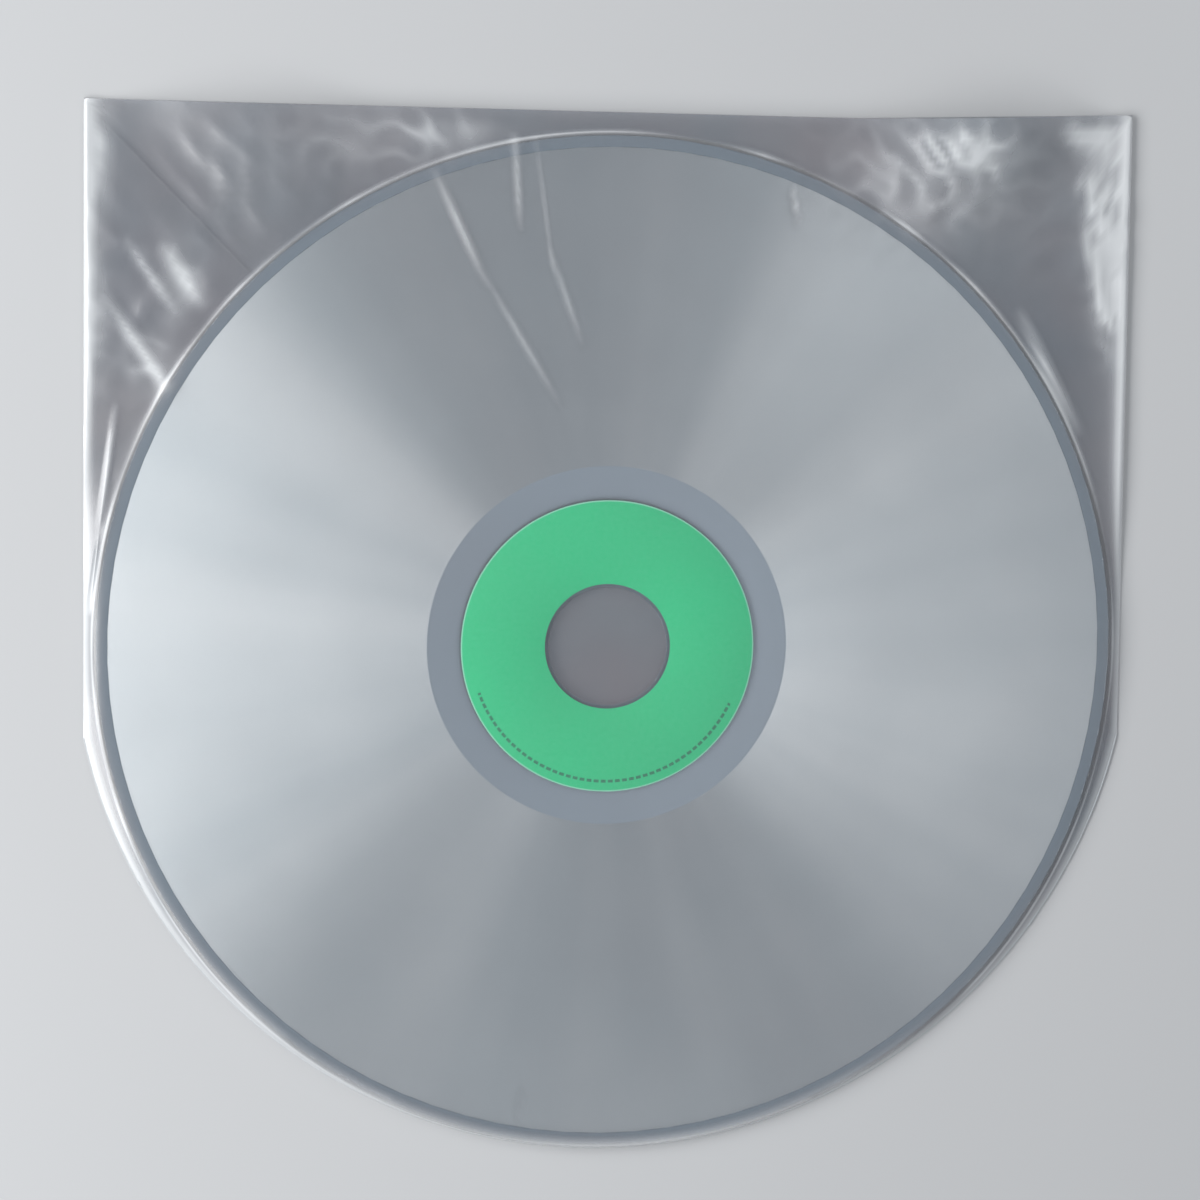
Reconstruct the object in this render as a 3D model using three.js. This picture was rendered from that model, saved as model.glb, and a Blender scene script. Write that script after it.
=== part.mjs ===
// A clear film record sleeve with a round bottom, lying flat, with the 30 cm video disc that it holds.
// Millimetres, +Z up, +Y towards the open mouth. The origin is on the surface that the sleeve lies on.
import * as THREE from "three";
import { mergeVertices } from "three/addons/utils/BufferGeometryUtils.js";

// Sleeve
const sleeveWidth = 307;
const sleeveLength = 310.6;
const filmThickness = 0.1;
const roundDepth = 124.2;
const seamWidth = 0.7;
const foldGap = 0.1;

// Mouth edge: cut a little out of square, so that it dips between its two corners
const mouthDipFromCentre = 72;
const mouthDipDepth = 3.7;
const rightCornerDrop = 2.1;

// Disc
const discDiameter = 300;
const holeDiameter = 35;
const halfThickness = 1.2;
const edgeRound = 0.35;
const discToSeam = 1.4;

// What lies between the two halves
const metalThickness = 0.04;
const metalInnerRadius = 27;
const clearRim = 3.4;
const bondThickness = 0.1;

// Labels
const labelInnerRadius = 18.5;
const labelOuterRadius = 43.3;
const labelThickness = 0.1;

// How the front ply stands off the disc
const rimClearance = 0.4;
const flatOverHole = 15;
const holeSag = 0.35;
const rightGape = 7;
const leftGape = 6;
const gapeRun = 86;
const lipRun = 62;

// Low creases in the front ply: a direction in degrees seen from the disc's centre, how far in from the rim
// the crease starts, how long it is and how high it stands
const creaseHalfAngle = THREE.MathUtils.degToRad(1);
const creases = [
  { at: 99, inFromRim: 2, length: 56, rise: 0.7 },
  { at: 107, inFromRim: 0, length: 80, rise: 0.9 },
  { at: 132, inFromRim: 24, length: 64, rise: 0.8 },
  { at: 155, inFromRim: 16, length: 34, rise: 0.6 },
  { at: 68.5, inFromRim: 0, length: 26, rise: 0.7 },
].map((crease) => ({ ...crease, at: THREE.MathUtils.degToRad(crease.at) }));

// Fineness of the facets
const filmStep = THREE.MathUtils.degToRad(4);
const innerSteps = 8;
const outerSteps = 5;
const discSegments = 90;
const labelSegments = 60;

// Places worked out from the sizes
const halfWidth = sleeveWidth / 2;
const discRadius = discDiameter / 2;
const discY = -sleeveLength / 2 + discToSeam + discRadius;
const bottomRadius = (halfWidth ** 2 + roundDepth ** 2) / (2 * roundDepth);
const bottomY = -sleeveLength / 2 + bottomRadius - discY;
const cornerY = sleeveLength / 2 - discY;
const rearLabelZ = filmThickness;
const rearHalfZ = rearLabelZ + labelThickness;
const bondZ = rearHalfZ + halfThickness;
const frontHalfZ = bondZ + bondThickness;
const frontLabelZ = frontHalfZ + halfThickness;
const restZ = frontLabelZ + labelThickness;
const foldZ = filmThickness + foldGap;
const rimRadius = discRadius + rimClearance;
const metalOuterRadius = discRadius - clearRim;

// Distance from the disc's centre to the mouth edge in one direction
function mouthAlong(angle) {
  const lines = [
    { x: -halfWidth, y: cornerY, slope: -mouthDipDepth / (halfWidth + mouthDipFromCentre) },
    {
      x: halfWidth,
      y: cornerY - rightCornerDrop,
      slope: (mouthDipDepth - rightCornerDrop) / (halfWidth - mouthDipFromCentre),
    },
  ];
  const reach = ({ x, y, slope }) => (y - slope * x) / (Math.sin(angle) - slope * Math.cos(angle));
  return Math.max(...lines.map(reach));
}

// Distance from the disc's centre to the folded sides or the round seam, with an inset for the inner wall
function closedAlong(angle, sideInset, seamInset) {
  const side = (halfWidth - sideInset) / Math.max(Math.abs(Math.cos(angle)), 1e-6);
  if (Math.sin(angle) >= 0) return side;
  const radius = bottomRadius - seamInset;
  const across = bottomY * Math.cos(angle);
  const round = bottomY * Math.sin(angle) + Math.sqrt(radius ** 2 - across ** 2);
  return Math.min(side, round);
}

// Every direction in which the film has a row of vertices: its corners and creases, and even steps between
function filmDirections() {
  const rightCorner = Math.atan2(cornerY - rightCornerDrop, halfWidth);
  const leftCorner = Math.atan2(cornerY, -halfWidth);
  const dip = Math.atan2(cornerY - mouthDipDepth, mouthDipFromCentre);
  const sideEnd = Math.atan2(-sleeveLength / 2 + roundDepth - discY, halfWidth);
  const stops = [sideEnd, rightCorner, dip, leftCorner, Math.PI - sideEnd, 1.5 * Math.PI];
  creases.forEach(({ at }) => stops.push(at - creaseHalfAngle, at, at + creaseHalfAngle));
  stops.sort((a, b) => a - b);
  stops.push(stops[0] + 2 * Math.PI);
  const angles = [];
  for (let i = 0; i + 1 < stops.length; i++) {
    const count = Math.ceil((stops[i + 1] - stops[i]) / filmStep);
    for (let k = 0; k < count; k++) angles.push(stops[i] + ((stops[i + 1] - stops[i]) * k) / count);
  }
  return { angles, first: angles.indexOf(rightCorner), last: angles.indexOf(leftCorner) };
}

// Inner face of the front ply over the disc: flat on the label, sagging at the hole, raised at each crease
function heightOverDisc(angle, radius) {
  const sag = holeSag * Math.max(0, 1 - radius / flatOverHole);
  const rises = creases.map(({ at, inFromRim, length, rise }) => {
    const along = (discRadius - inFromRim - radius) / length;
    const onCrease = Math.abs(angle - at) < creaseHalfAngle / 2 && along > 0 && along < 1;
    return onCrease ? rise * Math.sin(Math.PI * along) : 0;
  });
  return restZ - sag + Math.max(...rises);
}

// Inner face of the front ply at its free lip: on the level of the disc, gaping beside it, shut at the fold
function lipHeight(x) {
  const fromFold = halfWidth - Math.abs(x);
  const shut = THREE.MathUtils.smoothstep(fromFold, 0, lipRun);
  const gape = (x > 0 ? rightGape : leftGape) * Math.sin(Math.PI * Math.min(fromFold / gapeRun, 1)) ** 2;
  return { level: foldZ + (restZ - foldZ) * shut, gape };
}

// The front ply beyond the disc's rim, a share of the way to the edge of the sleeve
function heightBeyondRim(share, edge) {
  return restZ + (edge.level - restZ) * share + edge.gape * (1 - (1 - share) ** 2);
}

// One closed body: outer and inner face of the front ply, inner and outer face of the rear ply
function filmGeometry() {
  const { angles, first, last } = filmDirections();
  const inMouth = (i) => i > first && i < last;
  const positions = [];
  const triangles = [];
  const point = (angle, radius, z) => {
    positions.push(radius * Math.cos(angle), discY + radius * Math.sin(angle), z);
    return positions.length / 3 - 1;
  };
  const quad = (a, b, c, d) => triangles.push(a, b, c, a, c, d);

  // A column of vertices runs from the first ring to the edge, on the inner or the outer side of the ply
  const column = (angle, i, lift, sideInset, seamInset) => {
    const open = i >= first && i <= last;
    const reach = inMouth(i) ? mouthAlong(angle) : closedAlong(angle, sideInset, seamInset);
    const edge = open ? lipHeight(reach * Math.cos(angle)) : { level: foldZ, gape: 0 };
    const over = [];
    for (let k = 0; k <= innerSteps; k++) {
      const radius = flatOverHole + ((rimRadius - flatOverHole) * k) / innerSteps;
      over.push(point(angle, radius, heightOverDisc(angle, radius) + lift));
    }
    for (let k = 1; k <= outerSteps; k++) {
      const share = k / outerSteps;
      const radius = rimRadius + (reach - rimRadius) * share;
      over.push(point(angle, radius, heightBeyondRim(share, edge) + lift));
    }
    return { ring: over, reach };
  };

  const centreZ = heightOverDisc(0, 0);
  const outerTop = point(0, 0, centreZ + filmThickness);
  const innerTop = point(0, 0, centreZ);
  const innerFloor = point(0, 0, filmThickness);
  const outerFloor = point(0, 0, 0);
  const columns = angles.map((angle, i) => {
    const outer = column(angle, i, filmThickness, 0, 0);
    const inner = column(angle, i, 0, filmThickness, seamWidth);
    return {
      outer: outer.ring,
      inner: inner.ring,
      rearInner: point(angle, inner.reach, filmThickness),
      rearOuter: point(angle, outer.reach, 0),
    };
  });

  columns.forEach((near, i) => {
    const next = columns[(i + 1) % columns.length];
    triangles.push(outerTop, near.outer[0], next.outer[0]);
    triangles.push(innerTop, next.inner[0], near.inner[0]);
    triangles.push(innerFloor, near.rearInner, next.rearInner);
    triangles.push(outerFloor, next.rearOuter, near.rearOuter);
    const top = near.outer.length - 1;
    for (let k = 0; k < top; k++) {
      quad(near.outer[k], near.outer[k + 1], next.outer[k + 1], next.outer[k]);
      quad(near.inner[k], next.inner[k], next.inner[k + 1], near.inner[k + 1]);
    }
    if (i >= first && i < last) {
      quad(near.outer[top], near.inner[top], next.inner[top], next.outer[top]);
      quad(near.rearInner, near.rearOuter, next.rearOuter, next.rearInner);
    } else {
      quad(near.outer[top], near.rearOuter, next.rearOuter, next.outer[top]);
      quad(near.inner[top], next.inner[top], next.rearInner, near.rearInner);
    }
    if (i === first) quad(near.outer[top], near.rearOuter, near.rearInner, near.inner[top]);
    if (i === last) quad(near.outer[top], near.inner[top], near.rearInner, near.rearOuter);
  });

  const geometry = new THREE.BufferGeometry();
  geometry.setAttribute("position", new THREE.Float32BufferAttribute(positions, 3));
  geometry.setIndex(triangles);
  return geometry;
}

// A ring about the disc's axis, from its section as [radius, height] pairs run anticlockwise
function turned(section, segments) {
  const profile = [...section, section[0]].map(([radius, height]) => new THREE.Vector2(radius, height));
  const lathe = new THREE.LatheGeometry(profile, segments);
  lathe.deleteAttribute("normal");
  lathe.deleteAttribute("uv");
  return mergeVertices(lathe.rotateX(Math.PI / 2));
}

// A moulded half: a plain washer whose outward edges at the rim and the hole are eased
function halfSection(inwardZ, outwardZ) {
  const hole = holeDiameter / 2;
  const ease = Math.sign(outwardZ - inwardZ) * edgeRound;
  const bevel = edgeRound * (1 - Math.SQRT1_2);
  const section = [
    [hole, inwardZ],
    [discRadius, inwardZ],
    [discRadius, outwardZ - ease],
    [discRadius - bevel, outwardZ - ease * (1 - Math.SQRT1_2)],
    [discRadius - edgeRound, outwardZ],
    [hole + edgeRound, outwardZ],
    [hole, outwardZ - ease],
  ];
  return ease > 0 ? section : section.reverse();
}

// A flat washer
function washerSection(inner, outer, bottomZ, topZ) {
  return [
    [inner, bottomZ],
    [outer, bottomZ],
    [outer, topZ],
    [inner, topZ],
  ];
}

// The bond fills the joint from hole to rim, and is thinner where the metal layers lie on it
function bondSection() {
  const hole = holeDiameter / 2;
  const top = bondZ + bondThickness;
  const metalTop = top - metalThickness;
  const metalBottom = bondZ + metalThickness;
  return [
    [hole, bondZ],
    [metalInnerRadius, bondZ],
    [metalInnerRadius, metalBottom],
    [metalOuterRadius, metalBottom],
    [metalOuterRadius, bondZ],
    [discRadius, bondZ],
    [discRadius, top],
    [metalOuterRadius, top],
    [metalOuterRadius, metalTop],
    [metalInnerRadius, metalTop],
    [metalInnerRadius, top],
    [hole, top],
  ];
}

const clearAcrylic = { color: 0xdfe6e4, roughness: 0.08, metalness: 0, transparent: true, opacity: 0.4 };
const silver = { color: 0xb9bdc0, roughness: 0.25, metalness: 1 };
const greenPaper = { color: 0x3abf87, roughness: 0.7, metalness: 0 };
const haze = { color: 0xc3c9cd, roughness: 0.35, metalness: 0, transparent: true, opacity: 0.45 };
const adhesive = { color: 0xd8d6cc, roughness: 0.5, metalness: 0 };

const sleeveAndDisc = new THREE.Group();
const disc = new THREE.Group();
disc.position.y = discY;
sleeveAndDisc.add(disc);

function addPiece(parent, name, geometry, finish) {
  const mesh = new THREE.Mesh(geometry, new THREE.MeshStandardMaterial(finish));
  mesh.name = name;
  parent.add(mesh);
}

const metalRing = (bottomZ) => washerSection(metalInnerRadius, metalOuterRadius, bottomZ, bottomZ + metalThickness);
const labelRing = (bottomZ) => washerSection(labelInnerRadius, labelOuterRadius, bottomZ, bottomZ + labelThickness);

addPiece(sleeveAndDisc, "sleeve", filmGeometry(), haze);
addPiece(disc, "rear_label", turned(labelRing(rearLabelZ), labelSegments), greenPaper);
addPiece(disc, "disc_rear_half", turned(halfSection(bondZ, rearHalfZ), discSegments), clearAcrylic);
addPiece(disc, "metal_film_rear", turned(metalRing(bondZ), discSegments), silver);
addPiece(disc, "bond_layer", turned(bondSection(), discSegments), adhesive);
addPiece(disc, "metal_film_front", turned(metalRing(frontHalfZ - metalThickness), discSegments), silver);
addPiece(disc, "disc_front_half", turned(halfSection(frontHalfZ, frontLabelZ), discSegments), clearAcrylic);
addPiece(disc, "front_label", turned(labelRing(frontLabelZ), labelSegments), greenPaper);

export default sleeveAndDisc;
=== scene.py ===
import math

import bpy
import numpy as np
from mathutils import Euler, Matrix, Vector, noise


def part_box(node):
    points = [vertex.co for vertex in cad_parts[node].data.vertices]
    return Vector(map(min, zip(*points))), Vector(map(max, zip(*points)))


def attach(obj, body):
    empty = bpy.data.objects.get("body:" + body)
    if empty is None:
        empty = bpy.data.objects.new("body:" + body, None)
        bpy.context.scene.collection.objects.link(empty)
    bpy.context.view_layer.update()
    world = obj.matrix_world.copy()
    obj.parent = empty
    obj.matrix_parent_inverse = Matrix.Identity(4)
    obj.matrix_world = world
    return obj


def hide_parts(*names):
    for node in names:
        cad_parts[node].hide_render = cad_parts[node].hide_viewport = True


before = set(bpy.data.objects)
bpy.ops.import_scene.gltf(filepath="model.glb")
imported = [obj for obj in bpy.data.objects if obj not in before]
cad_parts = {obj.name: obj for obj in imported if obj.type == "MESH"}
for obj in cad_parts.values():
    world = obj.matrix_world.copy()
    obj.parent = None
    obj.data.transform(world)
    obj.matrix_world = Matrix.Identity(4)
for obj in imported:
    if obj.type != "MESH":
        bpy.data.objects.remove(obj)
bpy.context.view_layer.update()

# Camera
# It looks down on the sleeve from a little above its top left corner, as the photograph does. The focal
# length is the one at which the disc's rim, label and hole fall where they do in the picture.
picture_width = 1200
focal_pixels = 5281
sensor_width = 36
camera_distance = 1.555
camera_aim = Vector((-0.0021, 0.0095, 0))
camera_turn = Euler((-0.1317, -0.1046, 0.0133))

camera_data = bpy.data.cameras.new("camera")
camera_data.sensor_width = sensor_width
camera_data.lens = focal_pixels / picture_width * sensor_width
camera = bpy.data.objects.new("camera", camera_data)
bpy.context.scene.collection.objects.link(camera)
camera.rotation_euler = camera_turn
camera.location = camera_aim + camera_turn.to_matrix() @ Vector((0, 0, camera_distance))
bpy.context.scene.camera = camera
bpy.context.scene.view_settings.view_transform = "Standard"


# Surface and light
# A plain pale table top under four soft boxes: a long strong one at the left, a small one high beyond the
# top right corner, a low one near that corner, which draws the creases there, and a weak one beyond the
# round bottom. The rest of the room is an even dim grey, which is what the mirror-like parts show.
floor_size = 30
floor_drop = 0.0002
floor_colour = (0.43, 0.435, 0.44)
room_colour = (0.32, 0.34, 0.37)


def new_material(name):
    material = bpy.data.materials.new(name)
    material.use_nodes = True
    material.node_tree.nodes.clear()
    return material, material.node_tree


def add_node(tree, kind, links=None, **settings):
    """Adds a node. Settings are its own options, and links maps an input's name to a value or a socket."""
    node = tree.nodes.new(kind)
    for option, value in settings.items():
        setattr(node, option, value)
    for name, value in (links or {}).items():
        if isinstance(value, bpy.types.NodeSocket):
            tree.links.new(value, node.inputs[name])
        else:
            node.inputs[name].default_value = value
    return node


def finish_material(tree, shader):
    add_node(tree, "ShaderNodeOutputMaterial", {"Surface": shader})


# Nearly all of the noise that the texture node gives lies between these two values
noise_low = 0.3
noise_high = 0.7


def blotches(tree, where, scale, detail, low, high):
    """Noise about as wide as 1/scale metres, stretched to the range from low to high."""
    spots = add_node(
        tree, "ShaderNodeTexNoise", {"Vector": where, "Scale": scale, "Detail": detail}
    )
    stretch = {"From Min": noise_low, "From Max": noise_high, "To Min": low, "To Max": high}
    return add_node(
        tree, "ShaderNodeMapRange", {"Value": spots.outputs["Fac"], **stretch}
    ).outputs["Result"]


def rgba(colour):
    return (*colour, 1)


def math_node(tree, operation, first, second=0.0):
    return add_node(tree, "ShaderNodeMath", {0: first, 1: second}, operation=operation).outputs[0]


def mix_colour(tree, share, first, second):
    """The first colour at share 0 and the second at share 1."""
    mixer = add_node(tree, "ShaderNodeMix", data_type="RGBA")
    for place, value in ((0, share), (6, first), (7, second)):
        if isinstance(value, bpy.types.NodeSocket):
            tree.links.new(value, mixer.inputs[place])
        else:
            mixer.inputs[place].default_value = value
    return mixer.outputs[2]


floor_mesh = bpy.data.meshes.new("table_top")
edge = floor_size / 2
floor_mesh.from_pydata(
    [(-edge, -edge, 0), (edge, -edge, 0), (edge, edge, 0), (-edge, edge, 0)], [], [(0, 1, 2, 3)]
)
floor = bpy.data.objects.new("table_top", floor_mesh)
floor.location.z = -floor_drop
bpy.context.scene.collection.objects.link(floor)
floor_material, tree = new_material("table_top")
paint = add_node(
    tree, "ShaderNodeBsdfPrincipled", {"Base Color": rgba(floor_colour), "Roughness": 0.9}
)
finish_material(tree, paint.outputs["BSDF"])
floor_mesh.materials.append(floor_material)


def soft_box(name, place, length, height, power):
    """A soft box that looks at the middle of the table. Its sizes are in metres and its power in watts."""
    light = bpy.data.lights.new(name, "AREA")
    light.shape = "RECTANGLE"
    light.size = length
    light.size_y = height
    light.energy = power
    box = bpy.data.objects.new(name, light)
    bpy.context.scene.collection.objects.link(box)
    box.location = place
    box.rotation_euler = (-Vector(place)).to_track_quat("-Z", "Y").to_euler()


soft_box("left_box", place=(-0.95, -0.03, 0.68), length=2.0, height=0.7, power=28)
soft_box("right_box", place=(0.78, 0.8, 1.0), length=0.3, height=0.3, power=2)
soft_box("near_box", place=(0.52, 0.36, 0.36), length=0.5, height=0.2, power=0.7)
soft_box("foot_box", place=(0.05, -1.1, 0.75), length=0.8, height=0.3, power=1.8)

room = bpy.data.worlds.new("room")
room.use_nodes = True
room.node_tree.nodes["Background"].inputs["Color"].default_value = rgba(room_colour)
bpy.context.scene.world = room


# Disc halves, bright layers, bond and labels
# A 30 cm video disc is two moulded clear acrylic washers, each with a metal layer on its inward face, glued
# back to back, with a ring of plain paper stuck on each outward face. Every piece is a ring turned about
# one axis.
ring_segments = 288
edge_rounding = 0.0003
half_clearance = 0.00001
paper_rounding = 0.00002
metal_rounding = 0.000005
round_steps = 3
smooth_under = math.radians(35)


def new_tree(name, kinds):
    """An empty geometry tree and its inputs: one of each kind given by name, and one for the material."""
    tree = bpy.data.node_groups.new(name, "GeometryNodeTree")
    for label, kind in {**kinds, "Material": "NodeSocketMaterial"}.items():
        tree.interface.new_socket(label, in_out="INPUT", socket_type=kind)
    tree.interface.new_socket("Geometry", in_out="OUTPUT", socket_type="NodeSocketGeometry")
    return tree, tree.nodes.new("NodeGroupInput").outputs


def end_tree(tree, sizes, shape, place):
    """Moves the shape to its place, makes it plain geometry and gives it its material."""
    moved = add_node(tree, "GeometryNodeTransform", {"Geometry": shape, "Translation": place})
    real = add_node(tree, "GeometryNodeRealizeInstances", {"Geometry": moved.outputs[0]})
    coated = add_node(
        tree,
        "GeometryNodeSetMaterial",
        {"Geometry": real.outputs[0], "Material": sizes["Material"]},
    )
    end = tree.nodes.new("NodeGroupOutput")
    tree.links.new(coated.outputs[0], end.inputs[0])
    return tree


def halfway(tree, first, second):
    return math_node(tree, "MULTIPLY", math_node(tree, "ADD", first, second), 0.5)


def ring_tree():
    """A ring with a rectangular section and eased edges, swept round a circle."""
    tree, sizes = new_tree(
        "turned_ring",
        {
            "Inner Radius": "NodeSocketFloat",
            "Outer Radius": "NodeSocketFloat",
            "Bottom": "NodeSocketFloat",
            "Top": "NodeSocketFloat",
            "Rounding": "NodeSocketFloat",
            "Segments": "NodeSocketInt",
            "Centre": "NodeSocketVector",
        },
    )
    width = math_node(tree, "SUBTRACT", sizes["Outer Radius"], sizes["Inner Radius"])
    height = math_node(tree, "SUBTRACT", sizes["Top"], sizes["Bottom"])
    middle = halfway(tree, sizes["Outer Radius"], sizes["Inner Radius"])
    level = halfway(tree, sizes["Top"], sizes["Bottom"])
    circle = add_node(
        tree, "GeometryNodeCurvePrimitiveCircle", {"Resolution": sizes["Segments"], "Radius": middle}
    )
    section = add_node(
        tree, "GeometryNodeCurvePrimitiveQuadrilateral", {"Width": width, "Height": height}
    )
    eased = add_node(
        tree,
        "GeometryNodeFilletCurve",
        {"Curve": section.outputs[0], "Radius": sizes["Rounding"], "Count": round_steps},
        mode="POLY",
    )
    swept = add_node(
        tree, "GeometryNodeCurveToMesh", {"Curve": circle.outputs[0], "Profile Curve": eased.outputs[0]}
    )
    lift = add_node(tree, "ShaderNodeCombineXYZ", {"Z": level})
    place = add_node(tree, "ShaderNodeVectorMath", {0: sizes["Centre"], 1: lift.outputs[0]})
    return end_tree(tree, sizes, swept.outputs[0], place.outputs[0])


def grow(name, tree, material, sizes):
    """Runs a geometry tree with its named sizes, and returns the result as a plain smooth mesh object."""
    seed = bpy.data.objects.new(name + "_seed", bpy.data.meshes.new(name + "_seed"))
    bpy.context.scene.collection.objects.link(seed)
    modifier = seed.modifiers.new("grow", "NODES")
    modifier.node_group = tree
    for item in tree.interface.items_tree:
        if item.in_out == "INPUT" and item.name in sizes:
            modifier[item.identifier] = sizes[item.name]
        if item.in_out == "INPUT" and item.name == "Material":
            modifier[item.identifier] = material
    graph = bpy.context.evaluated_depsgraph_get()
    mesh = bpy.data.meshes.new_from_object(seed.evaluated_get(graph))
    mesh.name = name
    bpy.data.objects.remove(seed)
    mesh.shade_smooth()
    piece = bpy.data.objects.new(name, mesh)
    bpy.context.scene.collection.objects.link(piece)
    return piece


turned_ring = ring_tree()


def turn_ring(name, node, material, rounding, clearance=0.0):
    """A fine ring in the place of a CAD node, from that node's own box and its smallest radius."""
    low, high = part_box(node)
    centre = (low + high) / 2
    spots = np.array([v.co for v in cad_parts[node].data.vertices])
    across = np.hypot(spots[:, 0] - centre.x, spots[:, 1] - centre.y)
    piece = grow(
        name,
        turned_ring,
        material,
        {
            "Inner Radius": float(across.min()),
            "Outer Radius": float(across.max()),
            "Bottom": float(low.z) + clearance,
            "Top": float(high.z) - clearance,
            "Rounding": rounding,
            "Segments": ring_segments,
            "Centre": (centre.x, centre.y, 0.0),
        },
    )
    piece.data.set_sharp_from_angle(angle=smooth_under)
    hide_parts(node)
    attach(piece, "root")


def object_place(tree):
    return add_node(tree, "ShaderNodeTexCoord").outputs["Object"]


disc_low, disc_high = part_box("disc_front_half")
disc_centre = (disc_low + disc_high) / 2
disc_radius = (disc_high.y - disc_low.y) / 2


def polar(tree, where):
    """Distance from the disc's axis and direction about it, in metres and radians."""
    centred = add_node(
        tree,
        "ShaderNodeMapping",
        {"Vector": where, "Location": (-disc_centre.x, -disc_centre.y, 0)},
    )
    parts = add_node(tree, "ShaderNodeSeparateXYZ", {"Vector": centred.outputs[0]})
    flat = add_node(tree, "ShaderNodeCombineXYZ", {"X": parts.outputs["X"], "Y": parts.outputs["Y"]})
    away = add_node(tree, "ShaderNodeVectorMath", {0: flat.outputs[0]}, operation="LENGTH")
    turn = math_node(tree, "ARCTAN2", parts.outputs["Y"], parts.outputs["X"])
    return away.outputs["Value"], turn, centred.outputs[0]


# The power by which a clear surface mirrors more as it is seen more nearly edge on
mirror_rise = 5


def mirrored_share(tree, least, links=None):
    """How much a thin clear wall mirrors, from either side: the least square on, and all light edge on."""
    weight = add_node(tree, "ShaderNodeLayerWeight", links)
    steep = math_node(tree, "POWER", weight.outputs["Facing"], mirror_rise)
    return math_node(tree, "ADD", least, math_node(tree, "MULTIPLY", 1 - least, steep))


# Clear acrylic: nearly invisible from above, with a polished surface and a faint cool body.
acrylic_mirror = 0.04
acrylic, tree = new_material("clear_acrylic")
clear = add_node(tree, "ShaderNodeBsdfTransparent", {"Color": (0.97, 0.98, 0.985, 1)})
polish = add_node(tree, "ShaderNodeBsdfGlossy", {"Color": (1, 1, 1, 1), "Roughness": 0.06})
body = add_node(
    tree,
    "ShaderNodeMixShader",
    {0: mirrored_share(tree, acrylic_mirror), 1: clear.outputs[0], 2: polish.outputs[0]},
)
finish_material(tree, body.outputs[0])

# The metal layer over the fine circular tracks spreads light along the radius, so it shows broad beams. Its
# colour also carries painted beams, lighter and darker by direction about the centre, over a faint random
# tone.
# Inside the first track it is a plain bright layer.
first_track_radius = 0.0532
track_edge = 0.0001
# The silver's colour runs between these two: a faint random tone and the painted beams move it
silver_dull = (0.70, 0.735, 0.755)
silver_bright = (0.95, 0.955, 0.955)
plain_band_colour = (0.66, 0.73, 0.80)
painted_beam_share = 0.65
silver, tree = new_material("silver_layer")
away, turn, centred = polar(tree, object_place(tree))
on_tracks = add_node(
    tree,
    "ShaderNodeMapRange",
    {
        "Value": away,
        "From Min": first_track_radius - track_edge,
        "From Max": first_track_radius + track_edge,
        "To Min": 0,
        "To Max": 1,
    },
).outputs["Result"]
ring_way = add_node(tree, "ShaderNodeTangent", direction_type="RADIAL", axis="Z")
tone = blotches(tree, centred, scale=14, detail=2, low=0, high=1 - painted_beam_share)
outward = add_node(
    tree,
    "ShaderNodeCombineXYZ",
    {"X": math_node(tree, "COSINE", turn), "Y": math_node(tree, "SINE", turn)},
)
# Painted beams: the silver's colour is made lighter and darker by direction about the disc's centre
painted_beams = blotches(tree, outward.outputs[0], scale=2.6, detail=4, low=0, high=painted_beam_share)
tone = math_node(tree, "ADD", painted_beams, tone)
silver_colour = mix_colour(tree, tone, rgba(silver_dull), rgba(silver_bright))
tracks = add_node(
    tree,
    "ShaderNodeBsdfPrincipled",
    {
        "Base Color": silver_colour,
        "Metallic": 1,
        "Roughness": 0.5,
        "Anisotropic": 0.85,
        "Anisotropic Rotation": 0.25,
        "Tangent": ring_way.outputs[0],
    },
)
plain_band = add_node(
    tree,
    "ShaderNodeBsdfPrincipled",
    {"Base Color": rgba(plain_band_colour), "Metallic": 1, "Roughness": 0.42},
)
layer = add_node(
    tree,
    "ShaderNodeMixShader",
    {0: on_tracks, 1: plain_band.outputs[0], 2: tracks.outputs[0]},
)
finish_material(tree, layer.outputs[0])

# The set glue fills the joint beyond the metal, at the rim and the hole. It shows blue-grey from above.
glue_colour = (0.19, 0.23, 0.27)
glue, tree = new_material("bond")
glue_body = add_node(
    tree,
    "ShaderNodeBsdfPrincipled",
    {"Base Color": rgba(glue_colour), "Roughness": 0.3},
)
finish_material(tree, glue_body.outputs[0])

# Label paper: matt green ink on white stock, with a thin pale cut edge and a plain broken rule by it.
label_green = (0.004, 0.47, 0.19)
rule_green = (0.003, 0.11, 0.06)
cut_edge_colour = (0.22, 0.58, 0.4)
fibre_colour = (0.1, 0.6, 0.34)
fibre_share = 0.12
label_low, label_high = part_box("front_label")
label_radius = (label_high.y - label_low.y) / 2
rule_radius = 0.0402
rule_half_width = 0.00045
rule_dashes = 60
rule_gap_share = 0.3
rule_strength = 0.85
cut_edge_width = 0.0004
rule_start = math.radians(-160)
rule_end = math.radians(-25)
paper, tree = new_material("green_label")
away, turn, centred = polar(tree, object_place(tree))
from_rule = math_node(tree, "ABSOLUTE", math_node(tree, "SUBTRACT", away, rule_radius))
on_rule = math_node(tree, "LESS_THAN", from_rule, rule_half_width)
after_start = math_node(tree, "GREATER_THAN", turn, rule_start)
before_end = math_node(tree, "LESS_THAN", turn, rule_end)
dash = math_node(tree, "FRACT", math_node(tree, "MULTIPLY", turn, rule_dashes / math.pi))
inked = math_node(tree, "GREATER_THAN", dash, rule_gap_share)
inked = math_node(tree, "MULTIPLY", inked, math_node(tree, "MULTIPLY", after_start, before_end))
rule = math_node(tree, "MULTIPLY", math_node(tree, "MULTIPLY", on_rule, inked), rule_strength)
at_edge = math_node(tree, "GREATER_THAN", away, label_radius - cut_edge_width)
green = mix_colour(tree, rule, rgba(label_green), rgba(rule_green))
green = mix_colour(tree, at_edge, green, rgba(cut_edge_colour))
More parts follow.
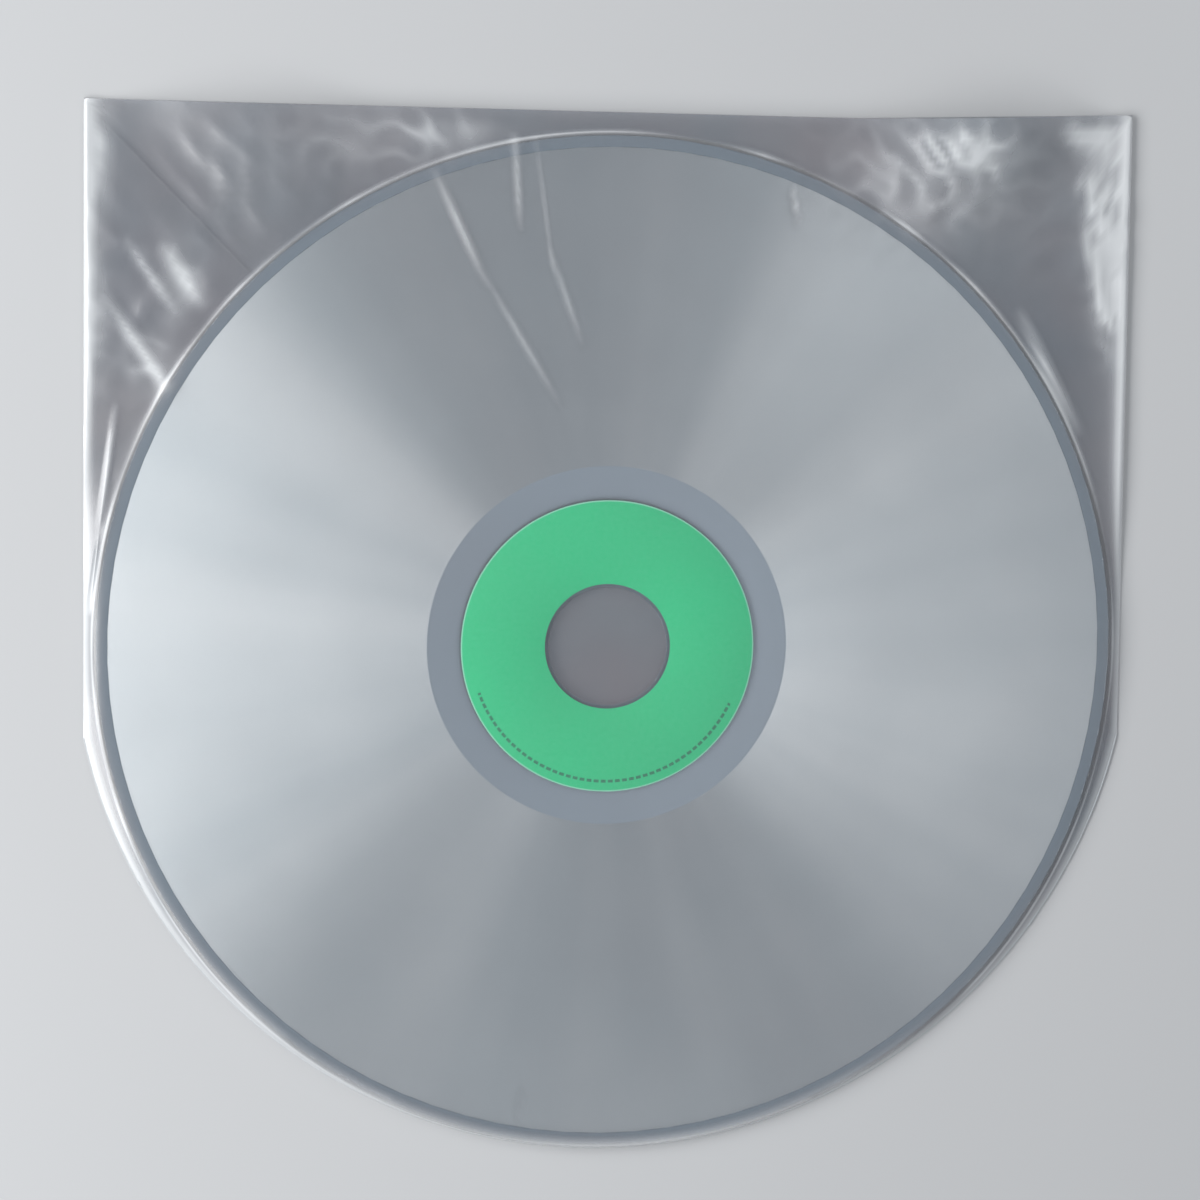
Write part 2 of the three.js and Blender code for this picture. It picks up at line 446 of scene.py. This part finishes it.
fibre = blotches(tree, centred, scale=700, detail=4, low=0, high=1)
fibre_tint = math_node(tree, "MULTIPLY", fibre, fibre_share)
green = mix_colour(tree, fibre_tint, green, rgba(fibre_colour))
grain = add_node(tree, "ShaderNodeBump", {"Height": fibre, "Strength": 0.25, "Distance": 0.00005})
ink = add_node(
    tree,
    "ShaderNodeBsdfPrincipled",
    {"Base Color": green, "Roughness": 0.72, "Normal": grain.outputs[0]},
)
finish_material(tree, ink.outputs[0])

for side in ("rear", "front"):
    turn_ring(f"{side}_paper_label", f"{side}_label", paper, paper_rounding)
    turn_ring(f"{side}_bright_layer", f"metal_film_{side}", silver, metal_rounding)
    turn_ring(
        f"{side}_acrylic_half",
        f"disc_{side}_half",
        acrylic,
        edge_rounding,
        half_clearance,
    )
bond_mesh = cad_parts["bond_layer"].data
bond_mesh.materials.clear()
bond_mesh.materials.append(glue)


# Film sleeve
# One piece of thin hazy polyethylene: a flattened tube with a folded edge at each side, cut and sealed in a
# round at the bottom, and open at the top. It is drawn tight over the disc and gapes a little at the mouth.
# Sizes are in millimetres.
MM = 0.001
film_thickness = 0.1
rear_top = 0.09
label_clearance = 0.03
fold_height = 0.2
round_depth = 124.2
mouth_dip_place = 72
mouth_dip = 3.7
right_corner_drop = 2.1
rim_clearance = 0.4
shoulder_drop = 0.8
shoulder_reach = 1.6
shoulder_none = 5
shoulder_full = 25
lowest = 0.12
hole_sag = 0.35
hole_flat = 15
gape = {"left": 4.2, "right": 7}
gape_run = 86
lip_run = 62
seam_width = 0.7
edge_fade_run = 2
least_cosine = 1e-6

sleeve_low, sleeve_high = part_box("sleeve")
half_width = (sleeve_high.x - sleeve_low.x) / 2 / MM
centre_y = disc_centre.y / MM
corner_y = sleeve_high.y / MM - centre_y
bottom_y = sleeve_low.y / MM - centre_y
rest_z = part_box("front_label")[1].z / MM + label_clearance
rim = disc_radius / MM + rim_clearance
round_radius = (half_width**2 + round_depth**2) / (2 * round_depth)
round_centre = bottom_y + round_radius

top_columns = 540
bottom_columns = 180
inner_rings = np.concatenate([np.linspace(5, 55, 9), np.linspace(60, rim, 28)])
near_rim = np.array([0.45, 1.0, 1.8, 3.0])
near_edge = np.array([3.2, 2.0, 1.1, 0.4, 0.0])
between_rings = 15
full_run = 11
film_smooth_under = math.radians(60)


def smooth(value, low, high):
    """0 at the low value and 1 at the high one, with an easy start and end."""
    share = np.clip((value - low) / (high - low), 0, 1)
    return share * share * (3 - 2 * share)


def mouth_reach(angle):
    """Distance from the disc's centre to the mouth's edge, which dips between the two corners."""
    left_slope = -mouth_dip / (half_width + mouth_dip_place)
    right_slope = (mouth_dip - right_corner_drop) / (half_width - mouth_dip_place)
    left = (corner_y + left_slope * half_width) / (np.sin(angle) - left_slope * np.cos(angle))
    right_end = corner_y - right_corner_drop
    right = (right_end - right_slope * half_width) / (np.sin(angle) - right_slope * np.cos(angle))
    return np.maximum(left, right)


def closed_reach(angle, side_inset, seam_inset):
    """Distance from the disc's centre to a folded side or the round seam, whichever comes first."""
    side = (half_width - side_inset) / np.maximum(np.abs(np.cos(angle)), least_cosine)
    across = round_centre * np.cos(angle)
    round_way = round_centre * np.sin(angle) + np.sqrt((round_radius - seam_inset) ** 2 - across**2)
    return np.where(np.sin(angle) >= 0, side, np.minimum(side, round_way))


right_corner = math.atan2(corner_y - right_corner_drop, half_width)
left_corner = math.atan2(corner_y, -half_width)
dip_turn = math.atan2(corner_y - mouth_dip, mouth_dip_place)
side_end = math.atan2(bottom_y + round_depth, half_width)
film_angles = np.concatenate(
    [
        np.linspace(0, math.pi, top_columns, endpoint=False),
        np.linspace(math.pi, 2 * math.pi, bottom_columns, endpoint=False),
    ]
)
film_columns = len(film_angles)
side_ends = (math.pi - side_end, side_end % (2 * math.pi))
for exact in (right_corner, dip_turn, left_corner, 1.5 * math.pi, *side_ends):
    film_angles[np.argmin(np.abs(film_angles - exact))] = exact
in_mouth = (film_angles > right_corner) & (film_angles < left_corner)
first_open = int(np.argmin(np.abs(film_angles - right_corner)))
last_open = int(np.argmin(np.abs(film_angles - left_corner)))

# Creases in the front ply: start and end in mm from the disc's centre, height, and half the width
creases = [
    ((-53, 141), (-36, 105), 0.55, 2.6),
    ((-38, 110), (-14, 70), 0.35, 2.4),
    ((-29, 151), (-27, 121), 0.5, 2.2),
    ((-23, 150), (-17, 108), 0.3, 1.4),
    ((-19, 118), (-8, 88), 0.3, 2.4),
    ((52, 137), (55, 124), 0.5, 2.0),
    ((-144, 72), (-149, 34), 0.5, 1.5),
    ((-149, 34), (-152, 9), 0.4, 1.0),
    ((-131, 118), (-119, 99), 0.35, 4.2),
    ((-148, 103), (-128, 74), 0.4, 3.6),
    ((-142, 120), (-126, 96), 0.2, 2.6),
    ((138, 140), (150, 118), 1.3, 3.0),
    ((140, 124), (147, 96), 1.0, 2.2),
    ((144, 118), (149, 92), 0.7, 1.6),
    ((120, 100), (140, 62), 0.5, 3.0),
    ((90, 152), (98, 141), 0.7, 2.2),
    ((101, 152), (113, 139), 0.6, 2.0),
    ((-24, -132), (-26, -143), 0.15, 1.8),
]
# Crumpled patches: the middle in mm from the disc's centre, how wide and how deep
crumples = [
    (-133, 104, 28, 1.0),
    (-110, 134, 30, 0.2),
    (143, 124, 16, 1.2),
    (98, 144, 24, 0.9),
    (128, 86, 24, 0.35),
    (-96, 140, 26, 0.35),
]
crumple_scale = 0.085
crumple_run_in = 6
fold_sharpness = 2.6
fold_level = 3.1
crease_sharpness = 1.4
crease_end_sharpness = 0.7
# How far the edge of the pouch's slope is eased at the two top corners, in mm, how steep it is, and over
# which share of the way from the rim to the corner this fades
corner_ease = 24
corner_slope = 0.026
corner_fade = 0.25
# Painted highlights on the film: each patch's middle in mm from the disc's centre, its width and height,
# and its strength
painted_highlight_patches = [
    (96, 138, 28, 17, 0.75),
    (106, 148, 12, 7, 0.7),
    (146, 130, 7, 24, 1.1),
    (139, 152, 7, 5, 1.2),
    (147, 104, 4, 16, 0.9),
    (-126, 108, 6, 12, 0.6),
    (-134, 82, 7, 9, 0.7),
    (-149, 96, 3, 26, 0.3),
    (-72, 149, 34, 11, 0.45),
    (-50, 151, 12, 4, 0.5),
    (-150, 148, 5, 16, 0.8),
]
# How white the film is painted along a crease, where it is partly whitened film and partly painted
# highlight, and how strong the painted highlights are on the rolled folds, over the rim and by its closed
# edges
crease_white_and_highlight = 0.4
roll_highlight = 1.0
rim_highlight = 1.0
edge_highlight = 1.0
edge_band = 2.3
rim_band_place = 0.6
rim_band = 0.45
rim_patch_scale = 0.02
rim_faintest = 0.15
patch_fold_scale = 1.3 * crumple_scale
patch_fold_share = 0.55
# The rolled fold by each side edge: its height and width, and where it starts and is full, in mm
rolls = {
    "left": {"height": 0.8, "width": 2.2, "start": 45, "full": 100},
    "right": {"height": 1.7, "width": 2.4, "start": 5, "full": 60},
}
roll_steepness = 2.8


def crease_sum(x, y, weigh):
    """All creases added up, each by its shape from 0 to 1 times the weight that weigh gives its height."""
    total = np.zeros_like(x)
    for (x0, y0), (x1, y1), rise, half in creases:
        along = np.array([x1 - x0, y1 - y0])
        length = np.hypot(*along)
        share = ((x - x0) * along[0] + (y - y0) * along[1]) / length**2
        off = np.abs((x - x0) * along[1] - (y - y0) * along[0]) / length
        ends = np.clip(share, 0, 1)
        profile = np.maximum(0, 1 - off / half) ** crease_sharpness
        taper = np.sin(np.pi * ends) ** crease_end_sharpness * ((share > 0) & (share < 1))
        total += weigh(rise) * profile * taper
    return total


def roll_shape(x, y):
    """How much of the rolled fold stands at each spot, 0 to about 1, and its whole height in mm."""
    here = {
        key: np.where(x > 0, rolls["right"][key], rolls["left"][key]) for key in rolls["right"]
    }
    off = np.maximum(half_width - np.abs(x), 0) / here["width"]
    stands = smooth(y, here["start"], here["full"])
    return 2 * np.exp(-off) * (1 - np.exp(-off * roll_steepness)) * stands, here["height"]


def ridges(x, y, scale):
    """Folds with sharp crests, which are 1 high, as crumpled film has."""
    spots = [
        noise.noise(Vector((a * scale, b * scale, fold_level)))
        for a, b in zip(x.ravel(), y.ravel())
    ]
    return (1 - np.abs(np.array(spots)) * fold_sharpness).reshape(x.shape)


def front_height(x, y, away, share, run, reach_x, open_edge):
    """Inner face of the front ply, in mm above the table."""
    from_fold = half_width - np.abs(reach_x)
    level = np.where(
        open_edge, fold_height + (rest_z - fold_height) * smooth(from_fold, 0, lip_run), fold_height
    )
    side_gape = np.where(reach_x > 0, gape["right"], gape["left"])
    puff = np.where(
        open_edge, side_gape * np.sin(np.pi * np.clip(from_fold / gape_run, 0, 1)) ** 2, 0
    )
    height = rest_z + (level - rest_z) * share + puff * (1 - (1 - share) ** 2)
    past = np.maximum(away - rim, 0)
    roomy = smooth(run, shoulder_none, shoulder_full)
    height -= shoulder_drop * (1 - np.exp(-past / shoulder_reach)) * (1 - share) * roomy
    roll, rise = roll_shape(x, y)
    height += rise * roll * (share > 0)
    height -= hole_sag * np.maximum(0, 1 - away / hole_flat)
    for corner in (right_corner, left_corner):
        aside = np.abs(y * math.cos(corner) - x * math.sin(corner))
        near = x * math.cos(corner) + y * math.sin(corner) > 0
        eased = corner_slope * np.maximum(corner_ease - aside, 0) ** 2 / (2 * corner_ease)
        height -= eased * near * smooth(share, 0, corner_fade) * smooth(1 - share, 0, corner_fade)
    edge_fade = np.where(share > 0, np.minimum(1, (1 - share) * run / edge_fade_run), 1)
    edge_fade = np.where(open_edge, 1, edge_fade)
    height += crease_sum(x, y, lambda rise: rise) * edge_fade
    folds = ridges(x, y, crumple_scale)
    for px, py, wide, deep in crumples:
        patch = np.exp(-(((x - px) ** 2 + (y - py) ** 2) / wide**2))
        height += deep * patch * folds * edge_fade * smooth(away, rim, rim + crumple_run_in)
    return np.maximum(height, np.where(away > rim, lowest, rest_z - hole_sag))


def whitening_and_painted_highlight(x, y, past, left):
    """How white the film is painted at each spot, from 0 to 1: partly whitened film and partly painted
    highlight along creases, and painted highlights in patches, over the disc's rim (past is the distance
    from it) and by the closed edge (left is the distance)."""
    # Creases are partly whitened film and partly painted highlight; patches, rolls, rim band and edge band
    # are painted highlights
    whitening_and_highlight = crease_sum(x, y, lambda rise: crease_white_and_highlight + rise)
    folds = np.maximum(ridges(x, y, patch_fold_scale), 0)
    for px, py, wide, tall, strength in painted_highlight_patches:
        patch = np.exp(-(((x - px) / wide) ** 2) - ((y - py) / tall) ** 2)
        whitening_and_highlight += strength * patch * (1 - patch_fold_share + patch_fold_share * folds)
    whitening_and_highlight += roll_shape(x, y)[0] * roll_highlight * (past > 0)
    glint = np.clip(ridges(x, y, rim_patch_scale), rim_faintest, 1)
    whitening_and_highlight += rim_highlight * glint * np.exp(-(((past - rim_band_place) / rim_band) ** 2))
    whitening_and_highlight += edge_highlight * np.exp(-((left / edge_band) ** 2))
    return np.clip(whitening_and_highlight, 0, 1)


def film_layer(side_inset, seam_inset, lift):
    """One face of the front ply: its points by column, each column's reach, and how white each point is
    painted: crease whitening and painted highlights.
    """
    closed = closed_reach(film_angles, side_inset, seam_inset)
    reach = np.where(in_mouth, mouth_reach(film_angles), closed)
    rings = []
    for angle, far in zip(film_angles, reach):
        run = far - rim
        fit = min(1, run / full_run)
        start = rim + near_rim * fit
        stop = far - near_edge * fit
        middle = np.linspace(start[-1], stop[0], between_rings + 2)[1:-1]
        rings.append(np.concatenate([inner_rings, start, middle, stop]))
    away = np.array(rings)
    run = (reach - rim)[:, None]
    share = np.clip((away - rim) / run, 0, 1)
    x = away * np.cos(film_angles)[:, None]
    y = away * np.sin(film_angles)[:, None]
    columns = np.arange(film_columns)
    open_edge = ((columns >= first_open) & (columns <= last_open))[:, None]
    reach_x = (reach * np.cos(film_angles))[:, None]
    z = front_height(x, y, away, share, run, reach_x, open_edge) + lift
    left = np.where(open_edge, np.inf, reach[:, None] - away)
    whitening_and_highlight = whitening_and_painted_highlight(x, y, away - rim, left)
    return np.stack([x, y + centre_y, z], axis=-1), reach, whitening_and_highlight


# The mesh: both faces of the front ply, then those of the flat rear ply, then the four hub points
outer_face, outer_reach, outer_whitening_and_highlight = film_layer(0, 0, film_thickness)
inner_face, inner_reach, inner_whitening_and_highlight = film_layer(film_thickness, seam_width, 0)
ring_count = outer_face.shape[1]
points = []
layers = {}
for name, layer in (("outer", outer_face), ("inner", inner_face)):
    layers[name] = len(points) + np.arange(layer[..., 0].size).reshape(layer.shape[:2])
    points.extend(layer.reshape(-1, 3).tolist())
for name, reach, z in (("rear_inner", inner_reach, rear_top), ("rear_outer", outer_reach, 0)):
    layers[name] = len(points) + np.arange(film_columns)
    points.extend(
        [a * math.cos(t), centre_y + a * math.sin(t), z] for a, t in zip(reach, film_angles)
    )
hub = len(points)
hub_height = rest_z - hole_sag
points.extend([[0, centre_y, z] for z in (hub_height + film_thickness, hub_height, rear_top, 0)])

faces = []
outer, inner = layers["outer"], layers["inner"]
rear_inner, rear_outer = layers["rear_inner"], layers["rear_outer"]
for i in range(film_columns):
    j = (i + 1) % film_columns
    faces.append((hub, outer[i, 0], outer[j, 0]))
    faces.append((hub + 1, inner[j, 0], inner[i, 0]))
    faces.append((hub + 2, rear_inner[i], rear_inner[j]))
    faces.append((hub + 3, rear_outer[j], rear_outer[i]))
    for k in range(ring_count - 1):
        faces.append((outer[i, k], outer[i, k + 1], outer[j, k + 1], outer[j, k]))
        faces.append((inner[i, k], inner[j, k], inner[j, k + 1], inner[i, k + 1]))
    if first_open <= i < last_open:
        faces.append((outer[i, -1], inner[i, -1], inner[j, -1], outer[j, -1]))
        faces.append((rear_inner[i], rear_outer[i], rear_outer[j], rear_inner[j]))
    else:
        faces.append((outer[i, -1], rear_outer[i], rear_outer[j], outer[j, -1]))
        faces.append((inner[i, -1], inner[j, -1], rear_inner[j], rear_inner[i]))
first, last = first_open, last_open
faces.append((outer[first, -1], rear_outer[first], rear_inner[first], inner[first, -1]))
faces.append((outer[last, -1], inner[last, -1], rear_inner[last], rear_outer[last]))

film_mesh = bpy.data.meshes.new("film_sleeve")
film_mesh.from_pydata(
    (np.array(points) * MM).tolist(), [], [tuple(int(v) for v in face) for face in faces]
)
film_mesh.update()
# The crease whitening and the painted highlights go on the film mesh as a point attribute
whitening_and_highlight = np.concatenate([outer_whitening_and_highlight.ravel(), inner_whitening_and_highlight.ravel()])
whitening_and_highlight = np.concatenate([whitening_and_highlight, np.zeros(len(points) - len(whitening_and_highlight))])
film_mesh.attributes.new("whitening_and_painted_highlight", "FLOAT", "POINT").data.foreach_set("value", whitening_and_highlight)
film_mesh.shade_smooth()
film_mesh.set_sharp_from_angle(angle=film_smooth_under)
sleeve = bpy.data.objects.new("film_sleeve", film_mesh)
bpy.context.scene.collection.objects.link(sleeve)

# Thin milky film: the haze is denser where it hangs free. Where the point attribute is high it is painted
# whiter and denser:
# partly whitened creases, and painted highlights on patches, folds, the rim and the closed edges.
hole_radius = 0.0175
free_from = 0.001
haze_cool = (0.16, 0.19, 0.225)
haze_whitening_and_highlight = (0.78, 0.80, 0.81)
haze_warm = (0.215, 0.205, 0.23)
# How far the painted highlights and crease whitening turn the haze white, and how much denser they make it
whitest_tint = 0.85
whitest_body = 0.34
held_haze = 0.2
film_mirror = 0.05
hazy_film, tree = new_material("hazy_film")
where = object_place(tree)
tint = blotches(tree, where, scale=22, detail=2, low=0, high=1)
haze = mix_colour(tree, tint, rgba(haze_cool), rgba(haze_warm))
# Painted highlights: where the attribute is high, the haze is painted whiter and made denser
whitening_and_highlight_share = add_node(tree, "ShaderNodeAttribute", attribute_name="whitening_and_painted_highlight").outputs["Fac"]
white_tint = math_node(tree, "MULTIPLY", whitening_and_highlight_share, whitest_tint)
haze = mix_colour(tree, white_tint, haze, rgba(haze_whitening_and_highlight))
away = polar(tree, where)[0]
off_rim = math_node(tree, "GREATER_THAN", away, disc_radius + free_from)
in_hole = math_node(tree, "LESS_THAN", away, hole_radius)
free = math_node(tree, "MAXIMUM", off_rim, in_hole)
thinned = add_node(
    tree, "ShaderNodeMapRange", {"Value": free, "To Min": held_haze, "To Max": 1}
).outputs["Result"]
cloud = blotches(tree, where, scale=17, detail=3, low=0.17, high=0.27)
cloud = math_node(tree, "MULTIPLY", cloud, thinned)
cloud = math_node(tree, "ADD", cloud, math_node(tree, "MULTIPLY", whitening_and_highlight_share, whitest_body))
wrinkle = add_node(
    tree, "ShaderNodeTexNoise", {"Vector": where, "Scale": 260, "Detail": 3, "Roughness": 0.5}
)
ripple = add_node(
    tree,
    "ShaderNodeBump",
    {"Height": wrinkle.outputs["Fac"], "Strength": 0.35, "Distance": 0.00012},
)
milk = add_node(
    tree,
    "ShaderNodeBsdfPrincipled",
    {"Base Color": haze, "Roughness": 0.36, "Alpha": cloud, "Normal": ripple.outputs[0]},
)
shine = add_node(
    tree,
    "ShaderNodeBsdfGlossy",
    {"Color": (1, 1, 1, 1), "Roughness": 0.32, "Normal": ripple.outputs[0]},
)
skin = add_node(
    tree,
    "ShaderNodeMixShader",
    {
        0: mirrored_share(tree, film_mirror, {"Normal": ripple.outputs[0]}),
        1: milk.outputs[0],
        2: shine.outputs[0],
    },
)
finish_material(tree, skin.outputs[0])
film_mesh.materials.append(hazy_film)
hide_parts("sleeve")
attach(sleeve, "root")


# Seam bead
# The heat-sealed round bottom ends in a fine melted bead. It swells and thins along the seam, and has a few
# small nubs where the hot wire paused.
bead_points = 1400
bead_radius = 0.00016
bead_sides = 8
bead_inset = 0.15
bead_height = 0.35
nub_turns = (math.radians(209), math.radians(267), math.radians(325))
nub_reach = 0.0012
# As shares of the bead's radius: the least width, what the noise adds to it, and what a nub adds
least_width = 0.3
lump_width = 1.4
nub_width = 0.9
bead_colour = (0.5, 0.53, 0.55)


def bead_tree():
    """A round bead along the sealed arc, thicker and thinner by noise, with a nub at three places."""
    tree, sizes = new_tree(
        "seam_bead",
        {
            "Arc Radius": "NodeSocketFloat",
            "Start": "NodeSocketFloat",
            "Sweep": "NodeSocketFloat",
            "Bead Radius": "NodeSocketFloat",
            "Centre": "NodeSocketVector",
        },
    )
    arc = add_node(
        tree,
        "GeometryNodeCurveArc",
        {
            "Resolution": bead_points,
            "Radius": sizes["Arc Radius"],
            "Start Angle": sizes["Start"],
            "Sweep Angle": sizes["Sweep"],
        },
    )
    here = add_node(tree, "GeometryNodeInputPosition").outputs[0]
    lumps = add_node(tree, "ShaderNodeTexNoise", {"Vector": here, "Scale": 160, "Detail": 2})
    width = math_node(tree, "MULTIPLY", lumps.outputs["Fac"], lump_width)
    width = math_node(tree, "ADD", width, least_width)
    spot = add_node(tree, "ShaderNodeSeparateXYZ", {"Vector": here})
    turn = math_node(tree, "ARCTAN2", spot.outputs["Y"], spot.outputs["X"])
    for nub in nub_turns:
        off = math_node(tree, "SUBTRACT", turn, nub - 2 * math.pi)
        off = math_node(tree, "ABSOLUTE", math_node(tree, "MULTIPLY", off, sizes["Arc Radius"]))
        swell = add_node(
            tree,
            "ShaderNodeMapRange",
            {"Value": off, "From Min": 0, "From Max": nub_reach, "To Min": nub_width, "To Max": 0},
            interpolation_type="SMOOTHSTEP",
        )
        width = math_node(tree, "ADD", width, swell.outputs["Result"])
    section = add_node(
        tree,
        "GeometryNodeCurvePrimitiveCircle",
        {"Resolution": bead_sides, "Radius": sizes["Bead Radius"]},
    )
    swept = add_node(
        tree,
        "GeometryNodeCurveToMesh",
        {
            "Curve": arc.outputs[0],
            "Profile Curve": section.outputs[0],
            "Scale": width,
            "Fill Caps": True,
        },
    )
    return end_tree(tree, sizes, swept.outputs[0], sizes["Centre"])


melted, tree = new_material("melted_film")
melt = add_node(
    tree,
    "ShaderNodeBsdfPrincipled",
    {"Base Color": rgba(bead_colour), "Roughness": 0.25, "Alpha": 0.75},
)
finish_material(tree, melt.outputs[0])
seam_start = math.atan2(bottom_y + round_depth - round_centre, -half_width) % (2 * math.pi)
seam_end = math.atan2(bottom_y + round_depth - round_centre, half_width) % (2 * math.pi)
bead = grow(
    "seam_bead",
    bead_tree(),
    melted,
    {
        "Arc Radius": (round_radius - bead_inset) * MM,
        "Start": seam_start,
        "Sweep": seam_end - seam_start,
        "Bead Radius": bead_radius,
        "Centre": (0.0, (centre_y + round_centre) * MM, bead_height * MM),
    },
)
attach(bead, "root")
